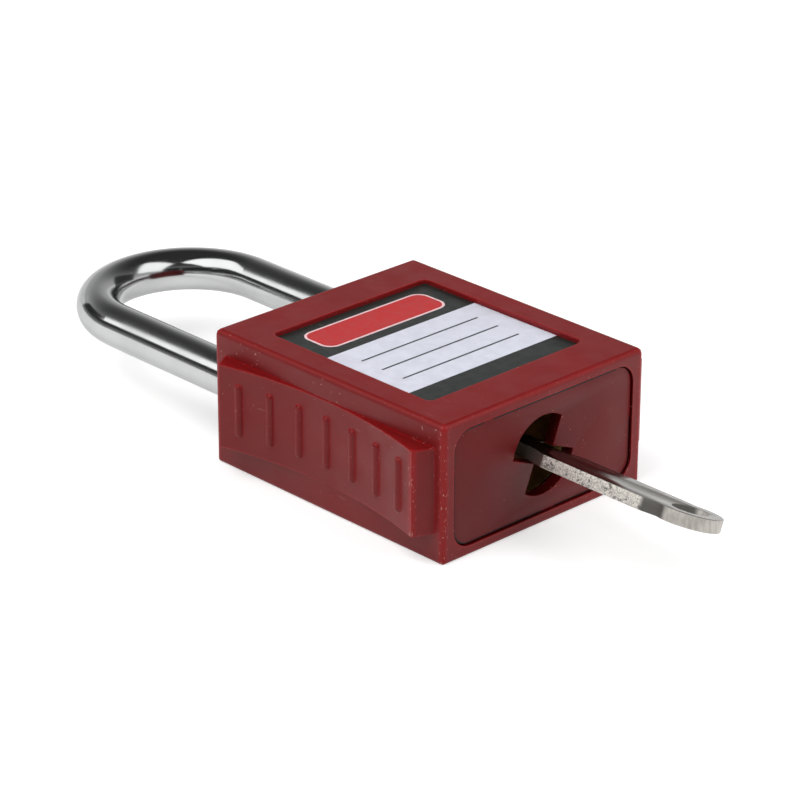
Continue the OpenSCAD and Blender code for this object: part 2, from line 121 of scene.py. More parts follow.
class PadlockPlastic(bpy.types.PropertyGroup):
    """Finish of the moulded body and its cover."""
    tint: colour("Plastic", RED, "Colour of the moulded plastic")
    edge: length("Edge", 0.14 * MM, "Rounding of the sharp moulded edges")
    band: length("Highlit band", 1.25 * MM, "Width of the rubbed bands along the upright corners")
    half_width: length("Half width", 19 * MM, "Distance of the plain side walls from the middle")
    upright: length("Upright corner", 0.75 * MM, "Radius of the body's upright corners")
    rim: length("Rim", 0.85 * MM, "Radius of the edges round the body's label face")
    packed_corner: length("Packed corner", 0.5 * MM, "Radius of all those edges in the packed body")
    cover_corner: length("Cover corner", 2.88 * MM, "Radius of the cover's corners")
    keyhole_reach: length("Keyhole reach", 7 * MM,
                          "Distance from the middle that the keyhole stays within")
    rough: FloatProperty(name="Roughness", description="Roughness of the plastic", default=0.44,
                         min=0.0, max=1.0, subtype="FACTOR")
    hollow_radius: length("Hollow radius", 72 * MM, "Radius of the grips' hollow faces")
    hollow_x: FloatProperty(name="Hollow place",
                            description="Place of the hollows' axes along the body",
                            default=-0.3 * MM, unit="LENGTH", subtype="DISTANCE", precision=5)
    hollow_y: length("Hollow distance", 91.15 * MM, "Distance of the hollows' axes from the middle")


class PadlockLabel(bpy.types.PropertyGroup):
    """Colours and sizes of the printed label."""
    paper: colour("Field", PAPER, "Colour of the middle field")
    ink: colour("Bands", INK, "Colour of the head and foot bands")
    bar: colour("Bar", BAR_RED, "Colour of the bar in the head band")
    line: colour("Outline", BAR_LINE, "Colour of the bar's outline")
    head: length("Head band", 10.0 * MM, "Length of the head band along the body")
    foot: length("Foot band", 4.65 * MM, "Length of the foot band along the body")
    bar_length: length("Bar length", 23.0 * MM, "Length of the bar across the body")
    bar_width: length("Bar width", 6.4 * MM, "Width of the bar")
    bar_line: length("Outline width", 0.38 * MM, "Width of the bar's outline")
    bar_corner: length("Bar corner", 2.0 * MM, "Radius of the bar's corners")
    rule_length: length("Rule length", 22.0 * MM, "Length of the writing lines")
    rule_width: length("Rule width", 0.3 * MM, "Width of the writing lines")
    print_depth: length("Print depth", 0.02 * MM, "Thickness of each printed layer")
    corner: length("Corner", 0.9 * MM, "Radius of the label's corners")
    edge: length("Edge", 0.03 * MM, "Rounding of the label's upper edge")
    margin: length("Margin", 0.04 * MM, "Bare margin round the printed bands")


class PadlockMetal(bpy.types.PropertyGroup):
    """Colours of the metal pieces."""
    chrome: colour("Chrome", CHROME, "Colour of the shackle's plating")
    nickel: colour("Nickel", NICKEL, "Colour of the key's plating")
    brass: colour("Brass", BRASS, "Colour of the cylinder")
    plug: colour("Plug", SHADED_PLUG_BRASS, "Colour of the plug's face, dark as painted shade")
    zinc: colour("Zinc", ZINC, "Colour of the cast case")
    steel: colour("Steel", STEEL, "Colour of pins, balls and springs")
    key_edge: length("Key edge", 0.10 * MM, "Rounding of the key's edges")


class PadlockStage(bpy.types.PropertyGroup):
    """Camera, floor and lights."""
    azimuth: FloatProperty(name="Azimuth", description="Camera's turn round the object",
                           default=math.radians(46.14), subtype="ANGLE")
    elevation: FloatProperty(name="Elevation", description="Camera's height over the floor",
                             default=math.radians(24.242), subtype="ANGLE")
    roll: FloatProperty(name="Roll", description="Camera's roll", default=math.radians(0.196),
                        subtype="ANGLE")
    distance: length("Distance", 472.187 * MM, "Camera's distance from its target")
    target: FloatVectorProperty(name="Target", description="Point that the camera looks at", size=3,
                                default=(-3.714 * MM, -1.642 * MM, 10 * MM), subtype="XYZ")
    lens: FloatProperty(name="Lens", description="Focal length in millimetres", default=154.093,
                        min=1.0)


# Node helpers

def blank_material(name):
    """A node material that holds only its output, with its tree and the output's input."""
    mat = bpy.data.materials.new(name)
    mat.use_nodes = True
    tree = mat.node_tree
    tree.nodes.clear()
    return mat, tree, tree.nodes.new("ShaderNodeOutputMaterial").inputs["Surface"]


def new_material(name):
    """A node material with its shader linked to its output."""
    mat, tree, surface = blank_material(name)
    shader = tree.nodes.new("ShaderNodeBsdfPrincipled")
    tree.links.new(shader.outputs["BSDF"], surface)
    return mat, tree, shader


def feed(tree, socket, value):
    """Links another node's socket to an input, or sets the input's value."""
    if isinstance(value, bpy.types.NodeSocket):
        tree.links.new(value, socket)
    else:
        socket.default_value = value


def node(tree, kind, settings=None, **inputs):
    """One node with its settings, and its inputs by name."""
    made = tree.nodes.new(kind)
    for key, value in (settings or {}).items():
        setattr(made, key, value)
    for key, value in inputs.items():
        feed(tree, made.inputs[key.replace("_", " ")], value)
    return made


def object_place(tree, scale=(1.0, 1.0, 1.0), turn=(0.0, 0.0, 0.0)):
    """Object coordinates through a Mapping node."""
    place = node(tree, "ShaderNodeTexCoord").outputs["Object"]
    mapping = node(tree, "ShaderNodeMapping", Vector=place, Scale=scale, Rotation=turn)
    return mapping.outputs["Vector"]


def noise(tree, place, scale, detail=3.0, rough=0.5):
    """Noise at a number of waves to the metre."""
    return node(tree, "ShaderNodeTexNoise", Vector=place, Scale=scale, Detail=detail,
                Roughness=rough).outputs["Fac"]


def ramp(tree, fac, low, high, to_low=0.0, to_high=1.0):
    """Maps a value from one range to another, smoothly and clamped."""
    made = node(tree, "ShaderNodeMapRange", {"interpolation_type": "SMOOTHSTEP"}, Value=fac)
    made.inputs["From Min"].default_value = low
    made.inputs["From Max"].default_value = high
    made.inputs["To Min"].default_value = to_low
    made.inputs["To Max"].default_value = to_high
    return made.outputs["Result"]


def math_node(tree, operation, a, b=0.0):
    """One maths step on two values or sockets."""
    made = node(tree, "ShaderNodeMath", {"operation": operation})
    feed(tree, made.inputs[0], a)
    feed(tree, made.inputs[1], b)
    return made.outputs[0]


def times(tree, a, b):
    """The product of two values or sockets."""
    return math_node(tree, "MULTIPLY", a, b)


def larger(tree, a, b):
    """The larger of two values or sockets."""
    return math_node(tree, "MAXIMUM", a, b)


def vector_node(tree, operation, a, b=None):
    """One step on vectors, which gives a vector or, for a length or a dot product, a value."""
    made = node(tree, "ShaderNodeVectorMath", {"operation": operation})
    feed(tree, made.inputs[0], a)
    if b is not None:
        feed(tree, made.inputs[1], b)
    return made.outputs["Value" if operation in ("LENGTH", "DOT_PRODUCT") else "Vector"]


def mix_colour(tree, fac, a, b):
    """Mixes two colours or colour sockets by a factor."""
    made = node(tree, "ShaderNodeMix", {"data_type": "RGBA"})
    for index, value in ((0, fac), (6, a), (7, b)):
        feed(tree, made.inputs[index], value)
    return made.outputs[2]


def bump(tree, height, distance, strength=1.0, normal=None):
    """A bump from a height, over a distance in metres."""
    made = node(tree, "ShaderNodeBump", Height=height, Distance=distance, Strength=strength)
    if normal is not None:
        tree.links.new(normal, made.inputs["Normal"])
    return made.outputs["Normal"]


def shade(tint, factor):
    """A lighter or darker colour."""
    return tuple(min(1.0, part * factor) for part in tint[:3]) + (1.0,)


def edge_mask(tree, radius):
    """One along edges and zero on flats, from a rounded normal against the true one."""
    soft = node(tree, "ShaderNodeBevel", {"samples": 6}, Radius=radius).outputs["Normal"]
    true = node(tree, "ShaderNodeNewGeometry").outputs["Normal"]
    return ramp(tree, vector_node(tree, "DOT_PRODUCT", soft, true), 0.995, 0.90)


def middle_and_half(box):
    """The middle of a box and half its size."""
    low, high = box
    return (low + high) / 2, (high - low) / 2


# Materials

def highlight_and_scuff_bands(tree, place, half_width, band):
    """One along the body's upright corners and the grips' ends, weaker along other outer edges:
    where a painted highlight and scuffs lie.
    """
    mid, half = middle_and_half(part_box("body_shell"))
    parts = node(tree, "ShaderNodeSeparateXYZ", Vector=place).outputs
    off = [math_node(tree, "ABSOLUTE", math_node(tree, "SUBTRACT", parts[i], mid[i]))
           for i in range(3)]

    def near(axis, reach, width):
        return ramp(tree, off[axis], reach - width, reach - width * 0.2)

    upright = times(tree, near(0, half.x, band), near(1, half_width, band))
    grip = times(tree, near(0, half.x - GRIP_END, band), near(1, half.y, band * 0.7))
    outer = larger(tree, near(0, half.x, band / 2), near(1, half_width, band / 2))
    level = times(tree, near(2, half.z, band / 2), outer)
    return larger(tree, larger(tree, upright, grip), times(tree, level, 0.3))


def joint_shade_line(tree, place, corner):
    """One along the cover's outline, in broken stretches: a line of painted shade for the joint."""
    mid, half = middle_and_half(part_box("bottom_cover"))
    off = vector_node(tree, "ABSOLUTE", vector_node(tree, "SUBTRACT", place, mid))
    inner = Vector((1.0, half.y - corner, half.z - corner))  # so far out in x that x doesn't count
    past = vector_node(tree, "MAXIMUM", vector_node(tree, "SUBTRACT", off, inner), Vector())
    reach = vector_node(tree, "LENGTH", past)
    line = ramp(tree, reach, corner - 0.32 * MM, corner - 0.20 * MM)
    stretches = noise(tree, object_place(tree, scale=(0.1, 1.0, 1.0)), 170, 2.0)
    return times(tree, line, ramp(tree, stretches, 0.40, 0.47))


def edge_nicks(tree, place, band):
    """One at nicks by the edges and at scuffs in the bands of painted highlight, most of them at
    the key end.
    """
    near_edge = ramp(tree, edge_mask(tree, 1.1 * MM), 0.02, 0.30)
    nicks = ramp(tree, noise(tree, place, 2600, 3.0), 0.67, 0.71)
    along = node(tree, "ShaderNodeSeparateXYZ", Vector=place).outputs["X"]
    key_end = ramp(tree, along, 0.0, 22 * MM, 0.25, 1.0)
    by_edge = times(tree, nicks, times(tree, near_edge, key_end))
    if band is None:
        return by_edge
    drawn = noise(tree, object_place(tree, scale=(1.0, 1.0, 0.45)), 3600, 4.0)
    scuffs = ramp(tree, drawn, 0.635, 0.665)
    return larger(tree, by_edge, times(tree, scuffs, times(tree, band, key_end)))


def dust_and_hairlines(tree, place):
    """One at specks of dust, which lie in patches, and a quarter along fine slanted hairlines."""
    patches = ramp(tree, noise(tree, place, 95, 2.0), 0.50, 0.66)
    dust = times(tree, ramp(tree, noise(tree, place, 2400, 1.0), 0.745, 0.765), patches)
    slanted = object_place(tree, scale=(0.05, 1.0, 1.0), turn=(0.4, 0.3, 0.9))
    lines = ramp(tree, noise(tree, slanted, 2600, 1.0), 0.765, 0.785)
    return larger(tree, dust, times(tree, lines, 0.25))


def moulded_plastic(name, tint, rough, gloss=0.32, sheen=1.0, bands=None, rim=None):
    """Satin moulded nylon: flow marks, grain, painted highlights on edges and corner bands,
    hairlines, nicks, pits, dust, and painted shade along a given joint.
    """
    mat, tree, shader = new_material(name)
    place = object_place(tree)
    shader.inputs["Specular IOR Level"].default_value = gloss
    shader.inputs["Specular Tint"].default_value = (sheen, sheen, sheen, 1.0)
    flow = noise(tree, object_place(tree, scale=(0.5, 1.0, 1.6)), 90, 4.0)
    tone = mix_colour(tree, ramp(tree, flow, 0.35, 0.7), shade(tint, 0.94), shade(tint, 1.06))
    # painted highlight: a lighter, redder colour along the edges
    edges = times(tree, edge_mask(tree, 0.6 * MM), 0.8)
    highlit = mix_colour(tree, edges, tone, shade(tint, 1.75))
    band = None
    if bands:
        band = highlight_and_scuff_bands(tree, place, *bands)
        # painted highlight: a brighter, redder tint with less gloss in the corner bands
        band_highlight = (tint[0] * 1.6, tint[0] * 0.06, tint[0] * 0.065, 1.0)
        highlit = mix_colour(tree, band, highlit, band_highlight)
        tree.links.new(ramp(tree, band, 0.0, 1.0, gloss, gloss * 0.7),
                       shader.inputs["Specular IOR Level"])
    flecks = larger(tree, edge_nicks(tree, place, band), dust_and_hairlines(tree, place))
    worn = mix_colour(tree, times(tree, flecks, 0.6), highlit, WORN_RED)
    pits = ramp(tree, noise(tree, place, 1900, 2.0), 0.27, 0.23)
    final = mix_colour(tree, times(tree, pits, 0.5), worn, shade(tint, 0.4))
    # painted shade: a near-black line along the cover's joint
    if rim:
        final = mix_colour(tree, joint_shade_line(tree, place, rim), final, shade(tint, 0.05))
    tree.links.new(final, shader.inputs["Base Color"])
    smears = ramp(tree, noise(tree, place, 240, 5.0), 0.3, 0.75, rough - 0.04, rough + 0.07)
    tree.links.new(smears, shader.inputs["Roughness"])
    grain = bump(tree, noise(tree, place, 5200, 3.0), 0.010 * MM, 0.4)
    waves = bump(tree, noise(tree, place, 420, 2.0), 0.020 * MM, 0.25, grain)
    tree.links.new(waves, shader.inputs["Normal"])
    return mat


def printed(name, tint):
    """Ink on the label: an even field with faint mottling and hairlines under a satin film."""
    mat, tree, shader = new_material(name)
    place = object_place(tree)
    mottle = ramp(tree, noise(tree, place, 700, 4.0), 0.3, 0.7)
    tone = mix_colour(tree, mottle, shade(tint, 0.95), shade(tint, 1.05))
    lines = noise(tree, object_place(tree, scale=(0.08, 1.0, 1.0), turn=(0, 0, 0.5)), 3400, 2.0)
    hair = times(tree, ramp(tree, lines, 0.735, 0.76), 0.22)
    final = mix_colour(tree, hair, tone, HAIRLINE)
    tree.links.new(final, shader.inputs["Base Color"])
    tree.links.new(ramp(tree, mottle, 0.0, 1.0, 0.34, 0.44), shader.inputs["Roughness"])
    tree.links.new(bump(tree, noise(tree, place, 2400, 3.0), 0.004 * MM, 0.4),
                   shader.inputs["Normal"])
    return mat


def plated(name, tint, rough, scratch=0.004 * MM, grain=900, dirt=0.08):
    """Bright plating: soft smudges, scratches of a depth along the piece and a slight ripple."""
    mat, tree, shader = new_material(name)
    place = object_place(tree)
    smudge = ramp(tree, noise(tree, place, 160, 4.0), 0.35, 0.7)
    tree.links.new(mix_colour(tree, smudge, shade(tint, 1.0 - dirt), tint),
                   shader.inputs["Base Color"])
    shader.inputs["Metallic"].default_value = 1.0
    shader.inputs["Specular Tint"].default_value = (0.75, 0.75, 0.75, 1.0)
    tree.links.new(ramp(tree, smudge, 0.0, 1.0, rough + 0.04, rough), shader.inputs["Roughness"])
    along = noise(tree, object_place(tree, scale=(0.06, 1.0, 1.0)), 6000, 2.0)
    fine = bump(tree, along, scratch, 0.5)
    ripple = bump(tree, noise(tree, place, grain, 2.0), 0.006 * MM, 0.35, fine)
    tree.links.new(ripple, shader.inputs["Normal"])
    return mat


def rough_edge(name, tint):
    """The key's sheared edge: plated over coarse pits, duller and dragged at its round end, with
    painted shade on its neck and before its round end.
    """
    mat, tree, shader = new_material(name)
    place = object_place(tree)
    along = node(tree, "ShaderNodeSeparateXYZ", Vector=place).outputs["X"]
    pits = noise(tree, object_place(tree, scale=(0.6, 1.0, 1.0)), 2700, 6.0, 0.72)
    mottle = ramp(tree, noise(tree, place, 5200, 3.0, 0.6), 0.36, 0.60)
    bright = mix_colour(tree, mottle, shade(tint, 0.85), shade(tint, 1.8))
    patches = ramp(tree, noise(tree, place, 620, 2.0), 0.42, 0.58, 0.30, 0.48)
    pitted = ramp(tree, math_node(tree, "SUBTRACT", pits, patches), -0.03, 0.05)
    sheared = mix_colour(tree, pitted, shade(tint, 0.45), bright)
    # painted shade: the smooth neck in the keyhole is darker than the sheared bar
    bar = mix_colour(tree, ramp(tree, along, *KEY_NECK), shade(tint, 0.7), sheared)
    slanted = object_place(tree, scale=(1.0, 1.0, 0.12), turn=(0.38, 0.0, 0.0))
    drag = ramp(tree, noise(tree, slanted, 2600, 4.0, 0.6), 0.35, 0.65)
    end = mix_colour(tree, drag, shade(tint, 0.95), shade(tint, 1.25))
    # painted shade: a dark band on the facet between the bar and the round end
    shaded_then_dragged_end = mix_colour(tree, ramp(tree, along, *KEY_TIP), shade(tint, 0.25), end)
    tree.links.new(mix_colour(tree, ramp(tree, along, *KEY_ROUND_END), bar, shaded_then_dragged_end),
                   shader.inputs["Base Color"])
    tree.links.new(ramp(tree, along, *KEY_NECK, 1.0, 0.45), shader.inputs["Metallic"])
    tree.links.new(ramp(tree, pits, 0.3, 0.7, 0.60, 0.42), shader.inputs["Roughness"])
    tree.links.new(bump(tree, pits, 0.05 * MM, 0.8), shader.inputs["Normal"])
    return mat


def bare_metal(name, tint, rough, scale):
    """Turned, cast or drawn metal that mostly lies inside the padlock."""
    mat, tree, shader = new_material(name)
    place = object_place(tree)
    cloud = noise(tree, place, scale, 4.0)
    tree.links.new(mix_colour(tree, ramp(tree, cloud, 0.3, 0.7), shade(tint, 0.85),
                              shade(tint, 1.1)), shader.inputs["Base Color"])
    shader.inputs["Metallic"].default_value = 1.0
    tree.links.new(ramp(tree, cloud, 0.3, 0.7, rough + 0.08, rough), shader.inputs["Roughness"])
    tree.links.new(bump(tree, noise(tree, place, scale * 5, 3.0), 0.01 * MM, 0.5),
                   shader.inputs["Normal"])
    return mat


# Mesh helpers

def piece_from(bm, name, materials):
    """Turns a bmesh into a smooth-shaded object at the origin, with its sharp edges marked."""
    mesh = bpy.data.meshes.new(name)
    bm.to_mesh(mesh)
    bm.free()
    for mat in materials:
        mesh.materials.append(mat)
    mesh.shade_smooth()
    mesh.set_sharp_from_angle(angle=SHARP_TURN)
    obj = bpy.data.objects.new(name, mesh)
    bpy.context.scene.collection.objects.link(obj)
    return obj


def merged_copy(name):
    """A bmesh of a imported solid, with its loose triangles joined and its flat faces whole."""
    bm = bmesh.new()
    bm.from_mesh(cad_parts[name].data)
    bmesh.ops.remove_doubles(bm, verts=bm.verts, dist=MERGE)
    bmesh.ops.dissolve_limit(bm, angle_limit=FLAT_TURN, verts=bm.verts, edges=bm.edges)
    for face in bm.faces:
        face.material_index = 0
    return bm


def soften(bm, width, least_turn, segments=3):
    """Rounds the outward edges that turn more than an angle."""
    limit = math.radians(least_turn)
    sharp = [e for e in bm.edges
             if e.is_manifold and e.is_convex and e.calc_face_angle(0.0) > limit]
    bmesh.ops.bevel(bm, geom=sharp, offset=width, offset_type="OFFSET", segments=segments,
                    profile=0.5, affect="EDGES", clamp_overlap=True, material=-1)
    bmesh.ops.remove_doubles(bm, verts=bm.verts, dist=MERGE)


def round_more(bm, half_width, axes, radius, was, steps=4):
    """Gives the outer edges square to two axes a larger radius than packed, save round the back."""
    mid, half = middle_and_half(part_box("body_shell"))
    half.y = half_width
    inset = radius - was
    for axis in axes:
        for step in range(steps):
            for side in ((1,) if axis == 2 else (-1, 1)):
                place, facing = mid.copy(), Vector()
                place[axis] += side * (half[axis] - radius + inset * step / steps)
                facing[axis] = 1.0
                bmesh.ops.bisect_plane(bm, geom=bm.verts[:] + bm.edges[:] + bm.faces[:],
                                       dist=0.0001 * MM, plane_co=place, plane_no=facing)
    for vert in bm.verts:
        off = [vert.co[i] - mid[i] for i in axes]
        past = [abs(value) - half[i] + radius for value, i in zip(off, axes)]
        behind = 2 in axes and vert.co.z < mid.z
        if min(past) <= 0.0 or max(past) > radius * 1.001 or behind:
            continue
        reach = math.hypot(*past)
        if min(past) * radius <= max(past) * inset:
            outline = radius * reach / max(past)
        else:
            middle = inset * sum(past) / reach
            outline = middle + math.sqrt(middle ** 2 - 2 * inset ** 2 + was ** 2)
        for value, amount, i in zip(off, past, axes):
            rounded = half[i] - radius + amount * radius / outline
            vert.co[i] = mid[i] + math.copysign(rounded, value)
    bmesh.ops.remove_doubles(bm, verts=bm.verts, dist=MERGE)
    bm.normal_update()


def mark_gap(bm, inner):
    """Gives the walls of the gap round the cover the second, darker material as painted shade, down
    to an inner reach.
    """
    low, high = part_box("bottom_cover")
    mid, near, steep = (low + high) / 2, 0.6 * MM, 0.93
    for face in bm.faces:
        middle = face.calc_center_median()
        off_y, off_z = abs(middle.y - mid.y), abs(middle.z - mid.z)
        by_cover = (middle.x > low.x - near and off_y < high.y - mid.y + near
                    and off_z < high.z - mid.z + near)
        if abs(face.normal.x) < steep and by_cover and math.hypot(off_y, off_z) > inner:
            face.material_index = 1


def true_hollows(piece, plastic):
    """Gives the grips' hollow faces their cylinder's normals and large flat faces their own.

    Without them the ribs leave ghosts in the shading.
    """
    mesh = piece.data
    normals = [Vector(corner.vector) for corner in mesh.corner_normals]
    near_cylinder, tilted, inwards = 0.03 * MM, 0.2, 0.95
    large, square = 4 * MM * MM, 0.9999
    for side in (-1, 1):
        axis = Vector((plastic.hollow_x, side * plastic.hollow_y, 0.0))
        for face in mesh.polygons:
            reach = face.center - axis
            reach.z = 0.0
            off_cylinder = abs(reach.length - plastic.hollow_radius) > near_cylinder
            if off_cylinder or abs(face.normal.z) > tilted:
                continue
            if face.normal.dot(reach.normalized()) > -inwards:
                continue
            for loop in face.loop_indices:
                corner = axis - mesh.vertices[mesh.loops[loop].vertex_index].co
                corner.z = 0.0
                normals[loop] = corner.normalized()
    for face in mesh.polygons:
        if face.area > large and max(abs(part) for part in face.normal) > square:
            for loop in face.loop_indices:
                normals[loop] = face.normal.copy()
    mesh.normals_split_custom_set(normals)


def slab(low, high, name, mat, corner, edge=0.0):
    """A thin flat piece between two corners, with round corners in plan."""
    bm = bmesh.new()
    bmesh.ops.create_cube(bm, size=1.0)
    size = high - low
    bmesh.ops.scale(bm, vec=size, verts=bm.verts)
    bmesh.ops.translate(bm, vec=(low + high) / 2, verts=bm.verts)
    upright = [e for e in bm.edges if abs((e.verts[0].co - e.verts[1].co).z) > size.z / 2]
    if corner:
        bmesh.ops.bevel(bm, geom=upright, offset=corner, offset_type="OFFSET", segments=24,
                        profile=0.5, affect="EDGES", material=-1)
    if edge:
        top = [e for e in bm.edges if min(v.co.z for v in e.verts) > high.z - size.z * 0.01]
        bmesh.ops.bevel(bm, geom=top, offset=edge, offset_type="OFFSET", segments=2,
                        profile=0.5, affect="EDGES", material=-1)
    bmesh.ops.recalc_face_normals(bm, faces=bm.faces)
    return piece_from(bm, name, [mat])


def dress(nodes, mat):
    """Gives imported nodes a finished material."""
    for name in nodes:
        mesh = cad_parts[name].data
        mesh.materials.clear()
        mesh.materials.append(mat)


def place_piece(piece, body, slot, *nodes):
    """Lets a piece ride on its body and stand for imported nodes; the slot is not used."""
    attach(piece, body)
    if nodes:
        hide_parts(*nodes)


# Pieces

class PADLOCK_OT_body(bpy.types.Operator):
    """Make the moulded body with its edges softened"""
    bl_idname = "padlock.make_body"
    bl_label = "Body"

    def execute(self, context):
        plastic = context.scene.padlock_plastic
        bm = merged_copy("body_shell")
        edges = (((0, 1), plastic.upright), ((0, 2), plastic.rim), ((1, 2), plastic.rim))
        for axes, radius in edges:
            round_more(bm, plastic.half_width, axes, radius, plastic.packed_corner)
        soften(bm, plastic.edge, 35)
        mark_gap(bm, plastic.keyhole_reach)
        outside = moulded_plastic("body plastic", plastic.tint, plastic.rough,
                                  bands=(plastic.half_width, plastic.band))
        # painted shade: the pocket's walls round the cover are a darker red with little gloss
        pocket_shade = moulded_plastic("pocket plastic", shade(plastic.tint, 0.4), plastic.rough,
                                 gloss=0.1)
        body = piece_from(bm, "moulded_body", [outside, pocket_shade])
        true_hollows(body, plastic)
        place_piece(body, "case", "body_plastic", "body_shell")
        return {"FINISHED"}


class PADLOCK_OT_cover(bpy.types.Operator):
    """Make the bottom cover with its edges softened"""
    bl_idname = "padlock.make_cover"
    bl_label = "Bottom cover"

    def execute(self, context):
        plastic = context.scene.padlock_plastic
        bm = merged_copy("bottom_cover")
        soften(bm, plastic.edge * 0.7, 35)
        for face in bm.faces:
            face.material_index = 0 if abs(face.normal.x) > 0.5 else 2
        mark_gap(bm, plastic.keyhole_reach)
        # painted shade: the cover is the body's red at 0.72, partly its own greyer tone and partly
        # painted shade on this end
        face_mat = moulded_plastic("cover plastic", shade(plastic.tint, 0.72), plastic.rough - 0.04,
                                   gloss=0.27, sheen=0.85, rim=plastic.cover_corner)
        # painted shade: the cover's walls in the gap are a near-black red
        side_shade_mat = moulded_plastic("cover side plastic in painted shade", shade(plastic.tint, 0.12), plastic.rough,
                                   gloss=0.1)
        # painted shade: the keyhole's walls are a darker red with little gloss
        hole_shade_mat = moulded_plastic("keyhole plastic in painted shade", shade(plastic.tint, 0.45), plastic.rough,
                                   gloss=0.15)
        cover = piece_from(bm, "key_end_cover", [face_mat, side_shade_mat, hole_shade_mat])
        place_piece(cover, "case", "cover_plastic", "bottom_cover")
        return {"FINISHED"}


class PADLOCK_OT_label(bpy.types.Operator):
    """Make the label: its film, the printed bands and the outlined bar"""
    bl_idname = "padlock.make_label"
    bl_label = "Label"

    def execute(self, context):
        label = context.scene.padlock_label
        low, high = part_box("front_label")
        layer = label.print_depth
        film_top = high.z - 3 * layer
        film = slab(low, Vector((high.x, high.y, film_top)), "label_film",
                    printed("label field", label.paper), label.corner, label.edge)
        place_piece(film, "case", "label_print", "front_label")

        def field(name, x_from, x_to, half, level, mat, corner=0.0):
            made = slab(Vector((x_from, -half, film_top + (level - 1) * layer)),
                        Vector((x_to, half, film_top + level * layer)), name, mat, corner)
            place_piece(made, "case", "label_print")

        ink = printed("label ink", label.ink)
        head_from, foot_to = low.x + label.margin, high.x - label.margin
        half = high.y - label.margin
        head_to, foot_from = head_from + label.head, foot_to - label.foot
        field("label_head_band", head_from, head_to, half, 1, ink)
        field("label_foot_band", foot_from, foot_to, half, 1, ink)
        bar_x = (head_from + head_to) / 2
        half_w, half_l, line = label.bar_width / 2, label.bar_length / 2, label.bar_line
        field("label_bar_outline", bar_x - half_w, bar_x + half_w, half_l, 2,
              printed("label outline", label.line), label.bar_corner)
        field("label_bar", bar_x - half_w + line, bar_x + half_w - line, half_l - line, 3,
              printed("label bar", label.bar), label.bar_corner - line)
        half_rule = label.rule_width / 2
        for i in range(3):
            rule_x = head_to + (foot_from - head_to) * (i + 1) / 4
            field(f"label_rule_{i + 1}", rule_x - half_rule, rule_x + half_rule,
                  label.rule_length / 2, 1, ink)
        return {"FINISHED"}


class PADLOCK_OT_shackle(bpy.types.Operator):
    """Finish the shackle in bright plating"""
    bl_idname = "padlock.finish_shackle"
    bl_label = "Shackle"

    def execute(self, context):
        metal = context.scene.padlock_metal
        dress(["shackle"], plated("shackle plating", metal.chrome, 0.12))
        return {"FINISHED"}


class PADLOCK_OT_key(bpy.types.Operator):
    """Make the key with rounded edges, plated faces and a rough sheared edge"""
    bl_idname = "padlock.make_key"
    bl_label = "Key"

    def execute(self, context):
        metal = context.scene.padlock_metal
        bm = merged_copy("key")
        flat = max(bm.faces, key=lambda f: f.calc_area()).normal.copy()
        for face in bm.faces:
            face.material_index = 0 if abs(face.normal.dot(flat)) > 0.9 else 1
        soften(bm, metal.key_edge, 60, 2)
        plating = plated("key plating", shade(metal.nickel, 0.74), 0.2,
                         scratch=0.012 * MM, grain=1400, dirt=0.2)
        key = piece_from(bm, "flat_key", [plating, rough_edge("key sheared edge", metal.nickel)])
        place_piece(key, "key_plug", "key_nickel", "key")
        return {"FINISHED"}


class PADLOCK_OT_lockwork(bpy.types.Operator):
    """Finish the brass, cast and steel pieces inside"""
    bl_idname = "padlock.finish_lockwork"
    bl_label = "Lockwork"

    def execute(self, context):
        metal = context.scene.padlock_metal
        springs = [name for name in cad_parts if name.startswith("wafer_spring_")]
        wafers = [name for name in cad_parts
                  if name.startswith("wafer_") and name not in springs]
        dress(["cylinder_housing"], bare_metal("turned brass", shade(metal.brass, 1.2), 0.3, 260))
        # painted shade: the plug's face deep in the keyhole is near-black brass
        dress(["plug"], bare_metal("plug brass in painted shade", metal.plug, 0.5, 260))
        dress(wafers, bare_metal("stamped brass", shade(metal.brass, 1.05), 0.35, 900))
        dress(["lock_case", "cam_actuator"], bare_metal("cast zinc", metal.zinc, 0.42, 350))
        dress(["housing_pin", "shackle_keeper_pin", "plug_clip"] + springs,
              bare_metal("drawn steel", metal.steel, 0.3, 800))
        dress(["locking_ball_left", "locking_ball_right"],
              bare_metal("ball steel", shade(metal.steel, 1.2), 0.08, 300))
        return {"FINISHED"}


# Stage

def seen_ray(tree):
    """One for rays from the camera, a reflection or a transmission."""
    path = tree.nodes.new("ShaderNodeLightPath").outputs
    shown = larger(tree, path["Is Camera Ray"], path["Is Glossy Ray"])
    return larger(tree, shown, path["Is Transmission Ray"])


def lit_or_seen(tree, lighting, seen):
    """One shader for the rays that bring light, and another for those by which a thing is seen."""
    both = node(tree, "ShaderNodeMixShader", Fac=seen_ray(tree))
    tree.links.new(lighting, both.inputs[1])
    tree.links.new(seen, both.inputs[2])
    return both.outputs["Shader"]


def emit(tree, strength):
    """A white glow."""
    return node(tree, "ShaderNodeEmission", Color=WHITE, Strength=strength).outputs["Emission"]


def floor_material():
    """White floor that stays white to the camera and in reflections, and keeps the shadow."""
    mat, tree, surface = blank_material("floor")
    lit = node(tree, "ShaderNodeBsdfDiffuse", Color=FLOOR_GREY).outputs["BSDF"]
    reach = vector_node(tree, "LENGTH", object_place(tree))
    both = tree.nodes.new("ShaderNodeAddShader")
    tree.links.new(lit, both.inputs[0])
    tree.links.new(emit(tree, ramp(tree, reach, 0.3, 1.0, 0.52, 0.9)), both.inputs[1])
    tree.links.new(lit_or_seen(tree, lit, both.outputs["Shader"]), surface)
    return mat


